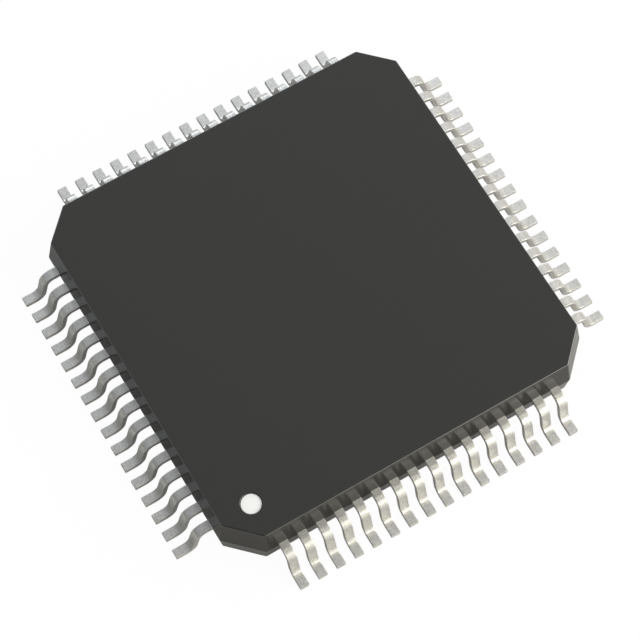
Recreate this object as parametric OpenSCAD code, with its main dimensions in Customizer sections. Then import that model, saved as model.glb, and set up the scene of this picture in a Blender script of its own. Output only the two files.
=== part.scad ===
// Quad flat pack chip: a moulded body with a row of gull-wing leads on each of its four sides.
// A white dot on the top marks the corner where the pins are counted from, anticlockwise.
// Inside the body are the die paddle with its tie bars, the silicon die and its bond wires.
// The origin is the centre of the footprint, on the plane that the feet stand on.
// +Z is up, the front row of leads points to -Y and the pin-one corner is at -X -Y.

/* [Body] */
// Side of the square body at its parting plane
body_side = 10; // [9.7:0.05:10.6]
// Height of the top face above the seating plane
package_height = 1.6; // [1.4:0.01:1.8]
// Gap between the seating plane and the underside of the body
standoff = 0.15; // [0.05:0.01:0.25]
// Height of the parting plane, where the middle of each lead leaves the body
parting_height = 0.8; // [0.7:0.01:0.9]
// Length cut off each side at a corner, at the parting plane
corner_cut = 0.8; // [0.6:0.01:0.9]
// Draft of the faces above the parting plane, in degrees
upper_draft = 8.5; // [3:0.1:13]
// Draft of the faces below the parting plane, in degrees
lower_draft = 7; // [3:0.1:13]
// Width and height of the small break along the top and bottom edges
edge_break = 0.03; // [0.01:0.005:0.06]

/* [Pin-one dot] */
// Diameter of the dot
dot_diameter = 0.52; // [0.3:0.01:0.8]
// Distance from each of the two nearest sides of the body to the centre of the dot
dot_inset = 0.975; // [0.8:0.005:1.4]
// Depth of the round dimple that holds the ink
dimple_depth = 0.06; // [0.04:0.005:0.1]
// Thickness of the ink on the floor of the dimple
ink_thickness = 0.03; // [0.01:0.005:0.035]

/* [Leads] */
// Number of leads on each side
leads_per_side = 16; // [8:1:16]
// Distance between the centres of neighbouring leads
lead_pitch = 0.5; // [0.45:0.005:0.52]
// Width of a lead outside the body
lead_width = 0.24; // [0.17:0.01:0.27]
// Thickness of the sheet that the leads and the paddle are stamped from
lead_thickness = 0.13; // [0.1:0.005:0.16]
// Distance from the side of the body to the toe of a lead
lead_reach = 1; // [0.9:0.01:1.3]
// Straight length of a lead between the body and its upper bend
shoulder_length = 0.15; // [0.1:0.01:0.25]
// Inside radius of the upper bend
upper_bend_radius = 0.2; // [0.1:0.01:0.24]
// Inside radius of the lower bend
lower_bend_radius = 0.2; // [0.1:0.01:0.22]
// Angle of the slanting part of a lead to the seating plane, in degrees
lead_slope = 77; // [72:0.5:84]

/* [Inner leads] */
// Straight length of a lead inside the body, which locks it in the moulding
lead_lock = 0.6; // [0.4:0.01:0.8]
// Distance between the centres of neighbouring lead tips beside the paddle
tip_pitch = 0.33; // [0.28:0.005:0.34]
// Width of a lead at its tip
tip_width = 0.15; // [0.12:0.01:0.18]
// Length of the straight tip that a bond wire lands on
tip_length = 0.35; // [0.25:0.01:0.45]
// Gap between the edge of the paddle and the lead tips
tip_gap = 0.35; // [0.2:0.01:0.5]

/* [Die paddle] */
// Side of the square paddle
paddle_side = 5.2; // [5:0.05:5.6]
// Drop from the plane of the leads to the plane of the paddle
paddle_downset = 0.2; // [0.1:0.01:0.25]
// Width of the bars that tie the paddle to the corners of the frame
tie_bar_width = 0.24; // [0.15:0.01:0.3]
// Distance from the corner of the paddle to the step in a tie bar
tie_step_start = 0.2; // [0.1:0.01:0.4]
// Length of the step in a tie bar, measured along the bar
tie_step_run = 0.2; // [0.15:0.01:0.4]
// Thickness of moulding that covers the outer end of a tie bar
tie_end_cover = 0.15; // [0.05:0.01:0.4]

/* [Silicon die] */
// Side of the square die
die_side = 4.2; // [3.8:0.05:4.6]
// Thickness of the die
die_thickness = 0.28; // [0.2:0.01:0.3]
// Thickness of the adhesive between the paddle and the die
glue_thickness = 0.025; // [0.015:0.005:0.04]
// Width of the adhesive that shows around the edge of the die
glue_margin = 0.08; // [0.03:0.01:0.15]

/* [Bond wires] */
// Diameter of a bond wire
wire_diameter = 0.025; // [0.02:0.001:0.03]
// Distance between the centres of neighbouring bond pads on the die
pad_pitch = 0.23; // [0.2:0.005:0.24]
// Distance from the edge of the die to the row of bond pads
pad_inset = 0.1; // [0.06:0.01:0.15]
// Diameter of the ball that joins a wire to its pad
ball_diameter = 0.06; // [0.04:0.005:0.08]
// Height of that ball
ball_height = 0.015; // [0.01:0.001:0.025]
// Radius of the loop that a wire rises from its ball in, to the middle of the wire
loop_radius = 0.15; // [0.1:0.005:0.2]
// Diameter of the flattened stitch that joins a wire to its lead
stitch_diameter = 0.06; // [0.04:0.005:0.08]
// Height of that stitch
stitch_height = 0.02; // [0.014:0.001:0.03]
// Distance from the tip of a lead to the centre of its stitch
stitch_inset = 0.12; // [0.08:0.01:0.16]

/* [Hidden] */
$fn = 64;

// The four sides, as quarter turns anticlockwise from the front
FRONT = 0;
RIGHT = 1;
BACK = 2;
LEFT = 3;

// Body: half widths of its faces at the parting plane, across the sides and across the corners
body_half = body_side / 2;
corner_half = (body_side - corner_cut) * sin(45);
upper_height = package_height - parting_height;
lower_height = parting_height - standoff;
dot_position = body_half - dot_inset;
// A length that reaches past the whole body, for the bands that are intersected to make it
past_body = 2 * body_side;

// Lead: heights of its shoulder, then the distances from the centre of the body outward
lead_top = parting_height + lead_thickness / 2;
lead_under = parting_height - lead_thickness / 2;
lock_start = body_half - lead_lock;
shoulder_end = body_half + shoulder_length;
toe = body_half + lead_reach;
// Sum of the radii that the two bends turn about, which the slanting part joins
bend_sum = upper_bend_radius + lead_thickness + lower_bend_radius;
slope_length = (lead_under - bend_sum * (1 - cos(lead_slope))) / sin(lead_slope);
foot_start = shoulder_end + bend_sum * sin(lead_slope) + slope_length * cos(lead_slope);

// Paddle, adhesive and die: the height of each top face
paddle_top = lead_top - paddle_downset;
glue_top = paddle_top + glue_thickness;
die_top = glue_top + die_thickness;

// Inner leads and tie bars: distances from the centre of the body outward
tip = paddle_side / 2 + tip_gap;
tip_root = tip + tip_length;
tie_step = paddle_side * sin(45) + tie_step_start;
tie_end = corner_half - tie_end_cover;

// Bond wire: its two ends, and the height of the centre that its loop turns about
pad_row = die_side / 2 - pad_inset;
stitch_row = tip + stitch_inset;
loop_height = die_top + ball_height / 2;
wire_end_height = lead_top + wire_diameter / 2;

// Place of item i of a row of leads, tips or pads, measured from the middle of the row
function in_row(i, pitch) = (i - (leads_per_side - 1) / 2) * pitch;

// Turns a shape drawn for the front side to another side
module on_side(side) {
    rotate(90 * side)
        children();
}

// Stands a shape drawn in the plane of distance and height up behind the front side
module stand_outward() {
    rotate([90, 0, -90])
        children();
}

// A square plate, centred, with its top face at a given height
module plate(side, thickness, top) {
    translate([0, 0, top - thickness / 2])
        cube([side, side, thickness], center = true);
}

// An endless bar whose two long faces have the draft of the body
module drafted_band(half) {
    top_half = half - upper_height * tan(upper_draft);
    bottom_half = half - lower_height * tan(lower_draft);
    right_edge = [
        [bottom_half - edge_break, standoff],
        [bottom_half + edge_break * tan(lower_draft), standoff + edge_break],
        [half, parting_height],
        [top_half + edge_break * tan(upper_draft), package_height - edge_break],
        [top_half - edge_break, package_height]
    ];
    left_edge = [for (i = [len(right_edge) - 1 : -1 : 0]) [-right_edge[i][0], right_edge[i][1]]];
    rotate([90, 0, 0])
        linear_extrude(past_body, center = true)
            polygon(concat(right_edge, left_edge));
}

// The outer form of the body: four sides and four cut corners, all drafted both ways
module body_form() {
    intersection() {
        drafted_band(body_half);
        rotate(90)
            drafted_band(body_half);
        rotate(45)
            drafted_band(corner_half);
        rotate(-45)
            drafted_band(corner_half);
    }
}

// One bend of a lead, about the origin and starting from the +X direction
module bend(inside_radius) {
    rotate_extrude(angle = lead_slope)
        translate([inside_radius, 0])
            square([lead_thickness, lead_width]);
}

// A straight stretch of a lead in the plane of distance and height
module strip(length) {
    cube([length, lead_thickness, lead_width]);
}

// The part of a lead from its lock inside the body to its toe
// Each stretch is placed from the end of the one before, so that they join to one solid at any slope
module gull_wing() {
    translate([lock_start, lead_under, 0])
        strip(shoulder_end - lock_start);
    translate([shoulder_end, lead_under - upper_bend_radius, 0]) {
        rotate(90 - lead_slope)
            bend(upper_bend_radius);
        rotate(-lead_slope) {
            translate([0, upper_bend_radius, 0])
                strip(slope_length);
            translate([slope_length, bend_sum, 0]) {
                rotate(270)
                    bend(lower_bend_radius);
                rotate(lead_slope)
                    translate([0, -lower_bend_radius - lead_thickness, 0])
                        strip(toe - foot_start);
            }
        }
    }
}

// The part of lead i inside its lock, which slants to a narrow tip beside the paddle
module inner_finger(i) {
    root_x = in_row(i, lead_pitch);
    tip_x = in_row(i, tip_pitch);
    translate([0, 0, lead_under])
        linear_extrude(lead_thickness)
            polygon([
                [root_x - lead_width / 2, -lock_start],
                [root_x + lead_width / 2, -lock_start],
                [tip_x + tip_width / 2, -tip_root],
                [tip_x + tip_width / 2, -tip],
                [tip_x - tip_width / 2, -tip],
                [tip_x - tip_width / 2, -tip_root]
            ]);
}

// One whole lead of the front row
module lead(i) {
    union() {
        translate([in_row(i, lead_pitch) + lead_width / 2, 0, 0])
            stand_outward()
                gull_wing();
        inner_finger(i);
    }
}

// The row of separate leads along one side
module lead_row(side) {
    on_side(side)
        for (i = [0 : leads_per_side - 1])
            lead(i);
}

// One tie bar, from the middle of the paddle to the front edge, before it is turned to a corner
module tie_bar() {
    step_end = tie_step + tie_step_run;
    translate([tie_bar_width / 2, 0, 0])
        stand_outward()
            linear_extrude(tie_bar_width)
                polygon([
                    [0, paddle_top - lead_thickness],
                    [tie_step, paddle_top - lead_thickness],
                    [step_end, lead_under],
                    [tie_end, lead_under],
                    [tie_end, lead_top],
                    [step_end, lead_top],
                    [tie_step, paddle_top],
                    [0, paddle_top]
                ]);
}

// The paddle and its four tie bars, stamped and pressed down in one piece
module paddle_form() {
    union() {
        plate(paddle_side, lead_thickness, paddle_top);
        for (corner = [FRONT : LEFT])
            rotate(45)
                on_side(corner)
                    tie_bar();
    }
}

// The layer of adhesive, a little wider than the die
module glue_form() {
    plate(die_side + 2 * glue_margin, glue_thickness, glue_top);
}

// The die, a plain block of silicon
module die_form() {
    plate(die_side, die_thickness, die_top);
}

// A wire in the plane of distance and height, from its pad at distance 0 to its stitch
module wire_path(length) {
    run = length - loop_radius;
    drop = loop_height - wire_end_height;
    reach = sqrt(run * run + drop * drop);
    dip = asin(loop_radius / reach) + atan2(drop, run);
    span = sqrt(reach * reach - loop_radius * loop_radius);
    translate([0, die_top, 0])
        rotate([-90, 0, 0])
            cylinder(d = ball_diameter, h = ball_height);
    translate([loop_radius, loop_height, 0]) {
        rotate(90 - dip)
            rotate_extrude(angle = 90 + dip)
                translate([loop_radius, 0])
                    circle(d = wire_diameter);
        rotate(-dip)
            translate([0, loop_radius, 0])
                rotate([0, 90, 0])
                    cylinder(d = wire_diameter, h = span);
    }
    translate([length, lead_top, 0])
        rotate([-90, 0, 0])
            cylinder(d = stitch_diameter, h = stitch_height);
}

// The bond wire of lead i of the front row
module wire(i) {
    pad_x = in_row(i, pad_pitch);
    across = in_row(i, tip_pitch) - pad_x;
    outward = stitch_row - pad_row;
    translate([pad_x, -pad_row, 0])
        rotate(atan2(across, outward))
            stand_outward()
                wire_path(sqrt(across * across + outward * outward));
}

// The row of separate bond wires along one side
module wire_row(side) {
    on_side(side)
        for (i = [0 : leads_per_side - 1])
            wire(i);
}

// The round shape that both the dimple and its ink take, down from the given height
module dot_disc(top, bottom) {
    translate([-dot_position, -dot_position, bottom])
        cylinder(d = dot_diameter, h = top - bottom);
}

// The moulded body, cast around everything inside it
module mould_body() {
    color([0.25, 0.247, 0.235])
        difference() {
            body_form();
            dot_disc(package_height + dimple_depth, package_height - dimple_depth);
            union() {
                for (side = [FRONT : LEFT]) {
                    lead_row(side);
                    wire_row(side);
                }
                paddle_form();
                glue_form();
                die_form();
            }
        }
}

module pin_one_dot() {
    color("white")
        dot_disc(package_height - dimple_depth + ink_thickness, package_height - dimple_depth);
}

module leads(side) {
    color([0.76, 0.75, 0.71])
        lead_row(side);
}

module die_paddle() {
    color([0.8, 0.52, 0.38])
        paddle_form();
}

module die_attach() {
    color([0.72, 0.72, 0.7])
        glue_form();
}

module silicon_die() {
    color([0.33, 0.34, 0.42])
        die_form();
}

module wires(side) {
    color([0.92, 0.75, 0.3])
        wire_row(side);
}

mould_body();
pin_one_dot();
leads(FRONT);  // front_leads
leads(RIGHT);  // right_leads
leads(BACK);  // back_leads
leads(LEFT);  // left_leads
die_paddle();
die_attach();
silicon_die();
wires(FRONT);  // front_wires
wires(RIGHT);  // right_wires
wires(BACK);  // back_wires
wires(LEFT);  // left_wires
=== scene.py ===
import math

import bmesh
import bpy
from mathutils import Matrix, Vector


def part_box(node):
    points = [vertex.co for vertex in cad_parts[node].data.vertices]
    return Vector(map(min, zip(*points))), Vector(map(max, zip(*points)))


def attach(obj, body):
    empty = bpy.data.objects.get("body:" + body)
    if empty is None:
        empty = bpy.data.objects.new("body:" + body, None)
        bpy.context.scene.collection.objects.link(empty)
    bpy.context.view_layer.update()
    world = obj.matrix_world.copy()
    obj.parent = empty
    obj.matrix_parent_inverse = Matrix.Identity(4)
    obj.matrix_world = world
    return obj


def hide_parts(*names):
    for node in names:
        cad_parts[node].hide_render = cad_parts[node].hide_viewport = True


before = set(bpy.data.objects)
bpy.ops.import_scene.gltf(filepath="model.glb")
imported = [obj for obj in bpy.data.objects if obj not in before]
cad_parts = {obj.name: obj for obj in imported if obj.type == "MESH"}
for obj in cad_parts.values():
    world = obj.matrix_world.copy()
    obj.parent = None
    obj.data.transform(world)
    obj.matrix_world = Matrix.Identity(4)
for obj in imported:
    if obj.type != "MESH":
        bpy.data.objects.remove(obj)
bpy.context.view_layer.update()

MM = 0.001

# Body: its box comes from the frame, the rest are the sizes that the frame was built with
BODY_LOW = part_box("mould_body")[0] / MM
BODY_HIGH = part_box("mould_body")[1] / MM
BODY_HALF = BODY_HIGH.x
PARTING_HEIGHT = 0.8
CORNER_CUT = 0.8
UPPER_DRAFT = math.radians(8.5)
LOWER_DRAFT = math.radians(7)
EDGE_ROUNDING = 0.03
PARTING_ROUNDING = 0.005
HEIGHT_TOLERANCE = 0.0001

# Upright part of a face's normal, above which the face is flat and below which it is a wall; faces in between
# are edges, whose darker finish paints shade
FLAT_LIMIT = 0.97
WALL_LIMIT = 0.2

# Pull of the large faces on the shading of the corners that they share, where 50 is even
LARGE_FACE_PULL = 100

# Pin-one dot
DOT_RADIUS = 0.26
DOT_INSET = 0.975
DOT_CENTRE = DOT_INSET - BODY_HALF
DIMPLE_DEPTH = 0.06
DIMPLE_RIM = 0.012
DIMPLE_FILLET = 0.008
INK_THICKNESS = 0.03
INK_CROWN = 0.004
INK_EDGE = 0.008
INK_CLEARANCE = 0.01

# Leads
LEADS_PER_SIDE = 16
LEAD_PITCH = 0.5
LEAD_WIDTH = 0.24
LEAD_THICKNESS = 0.13
TOE = -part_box("front_leads")[0].y / MM
SHOULDER_LENGTH = 0.15
UPPER_BEND_RADIUS = 0.2
LOWER_BEND_RADIUS = 0.2
LEAD_SLOPE = math.radians(77)
LEAD_LOCK = 0.6
TIP = -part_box("front_leads")[1].y / MM
TIP_LENGTH = 0.35
TIP_PITCH = 0.33
TIP_WIDTH = 0.15
LEAD_CORNER_RADIUS = 0.014
LEAD_END_ROUNDING = 0.009

# Steps that round shapes are drawn with
CORNER_STEPS = 4
PARTING_STEPS = 2
BEND_STEPS = 24
END_STEPS = 3
DOT_STEPS = 96
CROWN_STEPS = 6
ROUND_PROFILE = 0.5

# The four rows of leads, in quarter turns anticlockwise from the front
SIDES = ["front", "right", "back", "left"]


def quarter_arc(steps):
    """Sine and cosine pairs over a quarter turn."""
    angles = [math.pi / 2 * i / steps for i in range(steps + 1)]
    return [(math.sin(a), math.cos(a)) for a in angles]


def make_piece(name, shape, materials):
    """Turns a shape into a smooth-shaded piece, still in millimetres."""
    bmesh.ops.recalc_face_normals(shape, faces=shape.faces)
    mesh = bpy.data.meshes.new(name)
    shape.to_mesh(mesh)
    shape.free()
    for material in materials:
        mesh.materials.append(material)
    mesh.shade_smooth()
    piece = bpy.data.objects.new(name, mesh)
    bpy.context.scene.collection.objects.link(piece)
    return piece


def weight_normals(piece):
    """Shades the flat faces flat and the narrow rounded edges between them round."""
    modifier = piece.modifiers.new("weights", "WEIGHTED_NORMAL")
    modifier.mode = "FACE_AREA"
    modifier.weight = LARGE_FACE_PULL
    graph = bpy.context.evaluated_depsgraph_get()
    weighted = bpy.data.meshes.new_from_object(piece.evaluated_get(graph))
    piece.modifiers.clear()
    piece.data = weighted
    weighted.name = piece.name


def seat(piece, slot, *nodes):
    """Brings a piece to metres, gives it its body and hides the nodes that it stands for. Its slot is not
    used.
    """
    piece.data.transform(Matrix.Scale(MM, 4))
    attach(piece, "root")
    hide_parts(*nodes)


# Body

def body_outline(height):
    """The eight corners of the sharp-edged body at one height, anticlockwise."""
    above = height - PARTING_HEIGHT
    inward = above * math.tan(UPPER_DRAFT) if above > 0 else -above * math.tan(LOWER_DRAFT)
    half = BODY_HALF - inward
    corner_half = (2 * BODY_HALF - CORNER_CUT) / math.sqrt(2) - inward
    near = corner_half * math.sqrt(2) - half
    front_right = [(near, -half), (half, -near)]
    corners = []
    for quarter in range(4):
        turn = Matrix.Rotation(quarter * math.pi / 2, 2)
        corners += [turn @ Vector(point) for point in front_right]
    return [(x, y, height) for x, y in corners]


def sharp_body():
    """The body with sharp edges, as rings of corners at its bottom, parting plane and top."""
    shape = bmesh.new()
    rings = []
    for height in (BODY_LOW.z, PARTING_HEIGHT, BODY_HIGH.z):
        rings.append([shape.verts.new(corner) for corner in body_outline(height)])
    for lower, upper in zip(rings, rings[1:]):
        for i in range(len(lower)):
            j = (i + 1) % len(lower)
            shape.faces.new((lower[i], lower[j], upper[j], upper[i]))
    shape.faces.new(reversed(rings[0]))
    shape.faces.new(rings[2])
    return shape


def on_parting_plane(edge):
    """Whether an edge lies in the parting plane."""
    return all(abs(corner.co.z - PARTING_HEIGHT) < HEIGHT_TOLERANCE for corner in edge.verts)


def round_edges(shape, edges, rounding, segments):
    """Rounds edges of the body."""
    bmesh.ops.bevel(shape, geom=edges, offset=rounding, offset_type="OFFSET", segments=segments,
                    profile=ROUND_PROFILE, affect="EDGES", clamp_overlap=True)


def dot_ring(shape, radius, height):
    """A ring of points about the middle of the pin-one dot."""
    ring = []
    for i in range(DOT_STEPS):
        angle = 2 * math.pi * i / DOT_STEPS
        x = DOT_CENTRE + radius * math.cos(angle)
        y = DOT_CENTRE + radius * math.sin(angle)
        ring.append(shape.verts.new((x, y, height)))
    return ring


def turned_surface(shape, profile):
    """The surface that a profile of radii and heights sweeps about the middle of the dot."""
    rings = [dot_ring(shape, radius, height) for radius, height in profile]
    for outer, inner in zip(rings, rings[1:]):
        for i in range(DOT_STEPS):
            j = (i + 1) % DOT_STEPS
            shape.faces.new((outer[i], outer[j], inner[j], inner[i]))
    return rings


def dimple_profile():
    """Radii and heights of the dimple, from its rounded rim down to its floor."""
    top = BODY_HIGH.z
    floor = top - DIMPLE_DEPTH
    rim = [(DOT_RADIUS + DIMPLE_RIM * (1 - s), top - DIMPLE_RIM * (1 - c))
           for s, c in quarter_arc(CORNER_STEPS)]
    fillet = [(DOT_RADIUS - DIMPLE_FILLET * (1 - c), floor + DIMPLE_FILLET * (1 - s))
              for s, c in quarter_arc(CORNER_STEPS)]
    return rim + fillet


def sink_dimple(shape):
    """Opens the flat top of the body around the dot and sinks the dimple into it."""
    flats = [face for face in shape.faces if face.normal.z > FLAT_LIMIT]
    top = max(flats, key=lambda face: face.calc_area())
    border = list(top.edges)
    bmesh.ops.delete(shape, geom=[top], context="FACES_ONLY")
    rings = turned_surface(shape, dimple_profile())
    shape.faces.new(rings[-1])
    rim = [shape.edges.get((rings[0][i], rings[0][i - 1])) for i in range(DOT_STEPS)]
    bmesh.ops.triangle_fill(shape, use_beauty=True, use_dissolve=False, edges=border + rim)


def paint_faces(shape):
    """Gives the top and the bottom, the drafted walls and the rounded edges a finish each; the edges, the rim
    of the dimple among them, get a darker colour that paints shade along them.
    """
    for face in shape.faces:
        upright = abs(face.normal.z)
        if upright > FLAT_LIMIT:
            face.material_index = 0
        elif upright < WALL_LIMIT:
            face.material_index = 1
        else:
            face.material_index = 2


def make_body():
    """The moulded body, with rounded edges and the dimple of the dot."""
    shape = sharp_body()
    shape.normal_update()
    outer_edges = [edge for edge in shape.edges if not on_parting_plane(edge)]
    round_edges(shape, outer_edges, EDGE_ROUNDING, CORNER_STEPS)
    parting_edges = [edge for edge in shape.edges if on_parting_plane(edge)]
    round_edges(shape, parting_edges, PARTING_ROUNDING, PARTING_STEPS)
    shape.normal_update()
    sink_dimple(shape)
    shape.normal_update()
    paint_faces(shape)
    # The third finish paints shade along the rounded edges and the rim of the dimple with its darker colour.
    finishes = [mould_face_material(), mould_wall_material(), edge_painted_shade_material()]
    piece = make_piece("moulded_case", shape, finishes)
    weight_normals(piece)
    seat(piece, "mould_compound", "mould_body")


# Pin-one dot

def ink_profile():
    """Radii and heights of the ink, from the middle of its underside to the middle of its top."""
    floor = BODY_HIGH.z - DIMPLE_DEPTH
    top = floor + INK_THICKNESS
    radius = DOT_RADIUS - INK_CLEARANCE
    foot = [(radius - DIMPLE_FILLET, floor), (radius, floor + DIMPLE_FILLET)]
    edge = [(radius - INK_EDGE * (1 - c), top - INK_CROWN - INK_EDGE * (1 - s))
            for s, c in quarter_arc(CORNER_STEPS)]
    flat = radius - INK_EDGE
    crown = []
    for i in range(1, CROWN_STEPS):
        share = 1 - i / CROWN_STEPS
        crown.append((flat * share, top - INK_CROWN * share ** 2))
    return foot + edge + crown


def make_ink():
    """The ink of the pin-one dot, a thin disc that is a little higher in the middle."""
    shape = bmesh.new()
    rings = turned_surface(shape, ink_profile())
    shape.faces.new(rings[0])
    shape.faces.new(rings[-1])
    piece = make_piece("pin_one_ink", shape, [ink_material()])
    weight_normals(piece)
    seat(piece, "white_ink", "pin_one_dot")


# Leads

def in_row(i, pitch):
    """Place of item i of a row, measured from the middle of the row."""
    return (i - (LEADS_PER_SIDE - 1) / 2) * pitch


class Station:
    """A cross-section of a lead.

    It has a middle, the downward angle of the lead's path there and a width. Where it rounds an end of
    the lead, its corner radius shrinks and its surface leans toward the end.
    """

    def __init__(self, across, outward, height, angle=0.0, width=LEAD_WIDTH, shrink=0.0, lean=0.0):
        self.across = across
        self.outward = outward
        self.height = height
        self.angle = angle
        self.width = width
        self.shrink = shrink
        self.lean = lean


def bend_stations(across, start, centre_height, radius, first, last, sign):
    """Stations around a bend, whose centre is at a distance outward and a height."""
    stations = []
    for i in range(BEND_STEPS + 1):
        angle = first + (last - first) * i / BEND_STEPS
        outward = start + sign * radius * math.sin(angle)
        height = centre_height + sign * radius * math.cos(angle)
        stations.append(Station(across, outward, height, angle))
    return stations


def foot_start():
    """Distance from the middle of the body to the end of the lower bend."""
    lead_under = PARTING_HEIGHT - LEAD_THICKNESS / 2
    bend_sum = UPPER_BEND_RADIUS + LEAD_THICKNESS + LOWER_BEND_RADIUS
    slope_length = (lead_under - bend_sum * (1 - math.cos(LEAD_SLOPE))) / math.sin(LEAD_SLOPE)
    return (BODY_HALF + SHOULDER_LENGTH + bend_sum * math.sin(LEAD_SLOPE)
            + slope_length * math.cos(LEAD_SLOPE))


def end_stations(across, end, height, width, outward_sign):
    """Stations that round the edges of one end of a lead, from the flat sheet to the cut face."""
    start = end - outward_sign * LEAD_END_ROUNDING
    stations = []
    for s, c in quarter_arc(END_STEPS):
        stations.append(Station(across, start + outward_sign * LEAD_END_ROUNDING * s, height, 0.0, width,
                                LEAD_END_ROUNDING * (1 - c), outward_sign * math.asin(s)))
    return stations


def lead_stations(i):
    """The stations of lead i from its tip beside the paddle to its toe."""
    tip_across = in_row(i, TIP_PITCH)
    across = in_row(i, LEAD_PITCH)
    shoulder_end = BODY_HALF + SHOULDER_LENGTH
    middle = LEAD_THICKNESS / 2
    upper_radius = UPPER_BEND_RADIUS + middle
    lower_radius = LOWER_BEND_RADIUS + middle
    tip_end = end_stations(tip_across, TIP, PARTING_HEIGHT, TIP_WIDTH, -1)
    inside = [
        Station(tip_across, TIP + TIP_LENGTH, PARTING_HEIGHT, 0.0, TIP_WIDTH),
        Station(across, BODY_HALF - LEAD_LOCK, PARTING_HEIGHT),
    ]
    upper = bend_stations(across, shoulder_end, PARTING_HEIGHT - upper_radius, upper_radius, 0, LEAD_SLOPE, 1)
    lower = bend_stations(across, foot_start(), middle + lower_radius, lower_radius, LEAD_SLOPE, 0, -1)
    toe_end = end_stations(across, TOE, middle, LEAD_WIDTH, 1)
    return list(reversed(tip_end)) + inside + upper + lower + toe_end


def section(station):
    """Points of a rounded cross-section and its normals, as (sideways, upward) pairs, anticlockwise."""
    radius = LEAD_CORNER_RADIUS - station.shrink
    half_width = station.width / 2 - LEAD_CORNER_RADIUS
    half_height = LEAD_THICKNESS / 2 - LEAD_CORNER_RADIUS
    points = []
    for quarter in range(4):
        turn = Matrix.Rotation(quarter * math.pi / 2, 2)
        side = 1 if quarter in (0, 3) else -1
        top = 1 if quarter in (0, 1) else -1
        for s, c in quarter_arc(CORNER_STEPS):
            normal = turn @ Vector((c, s))
            point = Vector((side * half_width, top * half_height)) + radius * normal
            points.append((point, normal))
    return points


def place_section(station):
    """The points of a cross-section in the front row, each with the direction that its surface faces."""
    along = Vector((0, -math.cos(station.angle), -math.sin(station.angle)))
    upward = Vector((0, -math.sin(station.angle), math.cos(station.angle)))
    sideways = Vector((1, 0, 0))
    middle = Vector((station.across, -station.outward, station.height))
    placed = []
    for point, normal in section(station):
        place = middle + sideways * point.x + upward * point.y
        flat = sideways * normal.x + upward * normal.y
        placed.append((place, flat * math.cos(station.lean) + along * math.sin(station.lean)))
    return placed


def add_lead(shape, normals, i):
    """Adds lead i of the front row, and the directions that its points face."""
    rings = []
    for station in lead_stations(i):
        ring = []
        for place, normal in place_section(station):
            ring.append(shape.verts.new(place))
            normals.append(normal)
        rings.append(ring)
    count = len(rings[0])
    for near, far in zip(rings, rings[1:]):
        for k in range(count):
            n = (k + 1) % count
            shape.faces.new((near[k], near[n], far[n], far[k]))
    shape.faces.new(rings[0])
    shape.faces.new(rings[-1])


def make_lead_row(quarter, material):
    """The sixteen leads of one side."""
    side = SIDES[quarter]
    shape = bmesh.new()
    normals = []
    for i in range(LEADS_PER_SIDE):
        add_lead(shape, normals, i)
    piece = make_piece(side + "_lead_row", shape, [material])
    piece.data.normals_split_custom_set_from_vertices(normals)
    piece.data.transform(Matrix.Rotation(quarter * math.pi / 2, 4, "Z"))
    seat(piece, "tin_plate", side + "_leads")


# Materials

# Values of a noise pattern between which most of it lies
NOISE_LOW = 0.3
NOISE_HIGH = 0.7


def new_material(name):
    """An empty material, its node tree and its main shader."""
    material = bpy.data.materials.new(name)
    material.use_nodes = True
    return material, material.node_tree, material.node_tree.nodes["Principled BSDF"]


def add_noise(tree, grain, detail=3.0, roughness=0.5):
    """A pattern of noise with grains of about the given size in millimetres, fixed to the object."""
    place = tree.nodes.new("ShaderNodeTexCoord")
    noise = tree.nodes.new("ShaderNodeTexNoise")
    noise.inputs["Scale"].default_value = 1 / (grain * MM)
    noise.inputs["Detail"].default_value = detail
    noise.inputs["Roughness"].default_value = roughness
    tree.links.new(place.outputs["Object"], noise.inputs["Vector"])
    return noise.outputs["Fac"]


def add_range(tree, value, low, high):
    """Spreads the middle of a noise pattern between two values."""
    spread = tree.nodes.new("ShaderNodeMapRange")
    spread.inputs["From Min"].default_value = NOISE_LOW
    spread.inputs["From Max"].default_value = NOISE_HIGH
    spread.inputs["To Min"].default_value = low
    spread.inputs["To Max"].default_value = high
    tree.links.new(value, spread.inputs["Value"])
    return spread.outputs["Result"]


def add_colours(tree, value, dark, light):
    """Two close colours, mixed by a noise pattern."""
    ramp = tree.nodes.new("ShaderNodeValToRGB")
    ramp.color_ramp.elements[0].position = NOISE_LOW
    ramp.color_ramp.elements[0].color = (*dark, 1)
    ramp.color_ramp.elements[1].position = NOISE_HIGH
    ramp.color_ramp.elements[1].color = (*light, 1)
    tree.links.new(value, ramp.inputs["Fac"])
    return ramp.outputs["Color"]


def add_bump(tree, value, depth):
    """A relief whose height in millimetres follows a noise pattern."""
    bump = tree.nodes.new("ShaderNodeBump")
    bump.inputs["Distance"].default_value = depth * MM
    bump.inputs["Strength"].default_value = 1.0
    tree.links.new(value, bump.inputs["Height"])
    return bump.outputs["Normal"]


def mould_material(name, dark, light, roughness, gloss, relief, ior=1.5):
    """Moulding compound: fine filler grains in dark epoxy, with the texture of the mould on it."""
    material, tree, shader = new_material(name)
    grains = add_noise(tree, grain=0.02, detail=4.0, roughness=0.6)
    cloud = add_noise(tree, grain=0.4, detail=2.0)
    smoothest, roughest = roughness
    tree.links.new(add_colours(tree, grains, dark, light), shader.inputs["Base Color"])
    tree.links.new(add_range(tree, cloud, smoothest, roughest), shader.inputs["Roughness"])
    tree.links.new(add_bump(tree, grains, relief), shader.inputs["Normal"])
    shader.inputs["Specular IOR Level"].default_value = gloss
    shader.inputs["IOR"].default_value = ior
    return material


def mould_face_material():
    """The matte top and bottom of the body."""
    return mould_material("mould_face", dark=(0.0225, 0.0225, 0.0205), light=(0.0285, 0.0285, 0.026),
                          roughness=(0.44, 0.48), gloss=0.35, relief=0.001)


def mould_wall_material():
    """The smoother drafted walls of the body."""
    return mould_material("mould_wall", dark=(0.021, 0.021, 0.0185), light=(0.027, 0.027, 0.024),
                          roughness=(0.14, 0.18), gloss=0.32, relief=0.0004)


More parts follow.
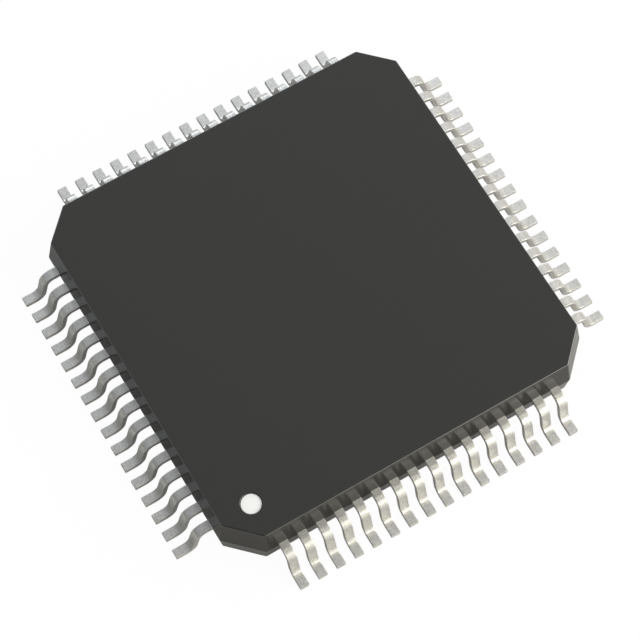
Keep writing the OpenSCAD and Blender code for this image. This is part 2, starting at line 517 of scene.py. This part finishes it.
def edge_painted_shade_material():
    """The rounded edges of the body and the rim of the dimple: smoother and glossier, with a darker colour
    that paints shade along them.
    """
    # The colours, far darker than those of the faces, paint shade along the edges; the gloss is real gloss.
    return mould_material("edge_painted_shade", dark=(0.002, 0.002, 0.0018), light=(0.004, 0.004, 0.0035),
                          roughness=(0.16, 0.20), gloss=1.0, relief=0.0003, ior=1.65)


def tin_material():
    """Matte tin plating, with the fine grain of its crystals."""
    material, tree, shader = new_material("matte_tin")
    crystals = add_noise(tree, grain=0.038, detail=4.0, roughness=0.65)
    cloud = add_noise(tree, grain=0.15, detail=2.0)
    colours = add_colours(tree, crystals, dark=(0.50, 0.495, 0.475), light=(0.78, 0.77, 0.74))
    tree.links.new(colours, shader.inputs["Base Color"])
    tree.links.new(add_range(tree, cloud, low=0.36, high=0.40), shader.inputs["Roughness"])
    tree.links.new(add_bump(tree, crystals, depth=0.0009), shader.inputs["Normal"])
    shader.inputs["Metallic"].default_value = 0.8
    return material


def ink_material():
    """Flat white marking ink."""
    material, tree, shader = new_material("white_marking_ink")
    pigment = add_noise(tree, grain=0.03)
    colours = add_colours(tree, pigment, dark=(0.93, 0.93, 0.92), light=(0.96, 0.96, 0.95))
    tree.links.new(colours, shader.inputs["Base Color"])
    tree.links.new(add_bump(tree, pigment, depth=0.001), shader.inputs["Normal"])
    shader.inputs["Roughness"].default_value = 0.55
    return material


def metal_material(name, dark, light, grain, roughness, relief):
    """A plain metal with a fine grain."""
    material, tree, shader = new_material(name)
    texture = add_noise(tree, grain)
    smoothest, roughest = roughness
    tree.links.new(add_colours(tree, texture, dark, light), shader.inputs["Base Color"])
    tree.links.new(add_range(tree, texture, smoothest, roughest), shader.inputs["Roughness"])
    tree.links.new(add_bump(tree, texture, relief), shader.inputs["Normal"])
    shader.inputs["Metallic"].default_value = 1.0
    return material


def copper_material():
    """The bare copper alloy of the paddle."""
    return metal_material("copper_alloy", dark=(0.60, 0.23, 0.11), light=(0.68, 0.28, 0.15), grain=0.05,
                          roughness=(0.32, 0.40), relief=0.0006)


def gold_material():
    """The drawn gold of the bond wires."""
    return metal_material("drawn_gold", dark=(0.80, 0.50, 0.08), light=(0.88, 0.57, 0.11), grain=0.01,
                          roughness=(0.18, 0.26), relief=0.0001)


def adhesive_material():
    """Cured epoxy full of silver flakes."""
    material, tree, shader = new_material("silver_epoxy")
    flakes = add_noise(tree, grain=0.015, detail=4.0, roughness=0.7)
    colours = add_colours(tree, flakes, dark=(0.34, 0.33, 0.31), light=(0.62, 0.61, 0.59))
    tree.links.new(colours, shader.inputs["Base Color"])
    tree.links.new(add_bump(tree, flakes, depth=0.002), shader.inputs["Normal"])
    shader.inputs["Roughness"].default_value = 0.45
    shader.inputs["Metallic"].default_value = 0.4
    return material


def silicon_material():
    """Polished silicon under its clear passivation."""
    material, tree, shader = new_material("silicon_face")
    film = add_noise(tree, grain=0.8, detail=2.0)
    colours = add_colours(tree, film, dark=(0.07, 0.075, 0.12), light=(0.11, 0.115, 0.16))
    tree.links.new(colours, shader.inputs["Base Color"])
    tree.links.new(add_range(tree, film, low=0.10, high=0.16), shader.inputs["Roughness"])
    shader.inputs["Metallic"].default_value = 0.6
    return material


def dress_node(node, material):
    """Gives a node of the frame its finish, and leaves its shape as it is."""
    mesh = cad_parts[node].data
    mesh.materials.clear()
    mesh.materials.append(material)


def dress_inside():
    """The finishes of the pieces that the body encloses."""
    dress_node("die_paddle", copper_material())
    dress_node("die_attach", adhesive_material())
    dress_node("silicon_die", silicon_material())
    gold = gold_material()
    for side in SIDES:
        dress_node(side + "_wires", gold)


# Stage, in metres

FLOOR_HALF = 0.6
FLOOR_DROP = 0.002 * MM
FLOOR_COLOUR = (0.64, 0.63, 0.605)
BACKGROUND_COLOUR = (1.0, 1.0, 1.0)

# Share of plain white in the floor that the camera sees, and in the floor that gloss reflects
CAMERA_SHARE = 0.97
REFLECTION_SHARE = 0.1


def add_math(tree, operation, first, second):
    """Combines two values, each of which is a socket or a number."""
    node = tree.nodes.new("ShaderNodeMath")
    node.operation = operation
    for socket, value in zip(node.inputs, (first, second)):
        if isinstance(value, (int, float)):
            socket.default_value = value
        else:
            tree.links.new(value, socket)
    return node.outputs["Value"]


def floor_material():
    """Pale card that shows as white, and keeps a soft shadow."""
    material = bpy.data.materials.new("pale_card")
    material.use_nodes = True
    tree = material.node_tree
    tree.nodes.clear()
    rays = tree.nodes.new("ShaderNodeLightPath")
    card = tree.nodes.new("ShaderNodeBsdfDiffuse")
    tone = tree.nodes.new("ShaderNodeMix")
    tone.data_type = "RGBA"
    tone.inputs["A"].default_value = (*FLOOR_COLOUR, 1)
    tone.inputs["B"].default_value = (*BACKGROUND_COLOUR, 1)
    white = tree.nodes.new("ShaderNodeEmission")
    white.inputs["Color"].default_value = (*BACKGROUND_COLOUR, 1)
    white.inputs["Strength"].default_value = 1.0
    mixer = tree.nodes.new("ShaderNodeMixShader")
    output = tree.nodes.new("ShaderNodeOutputMaterial")
    seen = add_math(tree, "MULTIPLY", rays.outputs["Is Camera Ray"], CAMERA_SHARE)
    reflected = add_math(tree, "MAXIMUM", rays.outputs["Is Glossy Ray"], rays.outputs["Is Transmission Ray"])
    share = add_math(tree, "ADD", seen, add_math(tree, "MULTIPLY", reflected, REFLECTION_SHARE))
    tree.links.new(rays.outputs["Is Camera Ray"], tone.inputs["Factor"])
    tree.links.new(tone.outputs["Result"], card.inputs["Color"])
    tree.links.new(share, mixer.inputs["Fac"])
    tree.links.new(card.outputs["BSDF"], mixer.inputs[1])
    tree.links.new(white.outputs["Emission"], mixer.inputs[2])
    tree.links.new(mixer.outputs["Shader"], output.inputs["Surface"])
    return material


def make_floor():
    """The floor, just under the plane that the feet stand on."""
    shape = bmesh.new()
    bmesh.ops.create_grid(shape, x_segments=1, y_segments=1, size=FLOOR_HALF)
    mesh = bpy.data.meshes.new("floor")
    shape.to_mesh(mesh)
    shape.free()
    mesh.materials.append(floor_material())
    floor = bpy.data.objects.new("floor", mesh)
    floor.location.z = -FLOOR_DROP
    bpy.context.scene.collection.objects.link(floor)


def direction(azimuth, elevation):
    """A unit vector: azimuth 0 is +X and 90 is +Y, in degrees."""
    a = math.radians(azimuth)
    e = math.radians(elevation)
    return Vector((math.cos(a) * math.cos(e), math.sin(a) * math.cos(e), math.sin(e)))


LAMP_DISTANCE = 0.2
WARM = (1.0, 0.95, 0.8)
NEUTRAL = (1.0, 0.98, 0.92)
COOL = (0.94, 1.0, 1.08)


def add_soft_box(name, azimuth, elevation, width, height, brightness, colour):
    """A rectangular soft box that faces the object; brightness 1 shows as white."""
    light = bpy.data.lights.new(name, "AREA")
    light.shape = "RECTANGLE"
    light.size = width
    light.size_y = height
    light.energy = brightness * math.pi * width * height
    light.color = colour
    lamp = bpy.data.objects.new(name, light)
    toward = direction(azimuth, elevation)
    lamp.location = toward * LAMP_DISTANCE
    lamp.rotation_euler = toward.to_track_quat("Z", "Y").to_euler()
    bpy.context.scene.collection.objects.link(lamp)


def add_world(brightness):
    """An even grey studio around the object."""
    world = bpy.data.worlds.new("studio")
    world.use_nodes = True
    background = world.node_tree.nodes["Background"]
    background.inputs["Color"].default_value = (1, 1, 1, 1)
    background.inputs["Strength"].default_value = brightness
    bpy.context.scene.world = world


def light_stage():
    """A wide key light at the front right, a small lamp overhead and softer lights all around."""
    add_world(0.15)
    add_soft_box("key_box", azimuth=-35, elevation=25, width=0.26, height=0.2,
                 brightness=4.2, colour=NEUTRAL)
    add_soft_box("front_box", azimuth=-84, elevation=25, width=0.07, height=0.2,
                 brightness=1.0, colour=WARM)
    add_soft_box("top_box", azimuth=-20, elevation=74, width=0.06, height=0.06,
                 brightness=1.9, colour=WARM)
    add_soft_box("right_box", azimuth=28, elevation=31, width=0.1, height=0.24,
                 brightness=0.55, colour=NEUTRAL)
    add_soft_box("back_right_box", azimuth=60, elevation=31, width=0.1, height=0.24,
                 brightness=1.2, colour=COOL)
    add_soft_box("back_low_box", azimuth=95, elevation=10, width=0.15, height=0.07,
                 brightness=2.8, colour=COOL)
    add_soft_box("back_high_box", azimuth=80, elevation=60, width=0.16, height=0.08,
                 brightness=0.4, colour=COOL)
    add_soft_box("back_top_box", azimuth=110, elevation=73, width=0.07, height=0.05,
                 brightness=0.4, colour=COOL)
    add_soft_box("back_left_box", azimuth=145, elevation=40, width=0.15, height=0.2,
                 brightness=0.42, colour=COOL)


# Camera: the lens and the sensor are in millimetres
CAMERA_PLACE = Vector((-11.78, -20.21, 56.214)) * MM
CAMERA_AIM = Vector((-0.1477, -0.6122, 0.8)) * MM
CAMERA_LENS = 139.42
CAMERA_SENSOR = 36
CAMERA_NEAR = 1 * MM
CAMERA_FAR = 10


def add_camera():
    """The camera, above the front left corner."""
    lens = bpy.data.cameras.new("camera")
    lens.lens = CAMERA_LENS
    lens.sensor_width = CAMERA_SENSOR
    lens.clip_start = CAMERA_NEAR
    lens.clip_end = CAMERA_FAR
    camera = bpy.data.objects.new("camera", lens)
    backward = CAMERA_PLACE - CAMERA_AIM
    turn = backward.to_track_quat("Z", "Y").to_matrix()
    camera.matrix_world = Matrix.Translation(CAMERA_PLACE) @ turn.to_4x4()
    bpy.context.scene.collection.objects.link(camera)
    bpy.context.scene.camera = camera


add_camera()
light_stage()
make_floor()
make_body()
make_ink()
tin = tin_material()
for quarter in range(len(SIDES)):
    make_lead_row(quarter, tin)
dress_inside()
bpy.context.scene.view_settings.view_transform = "Standard"
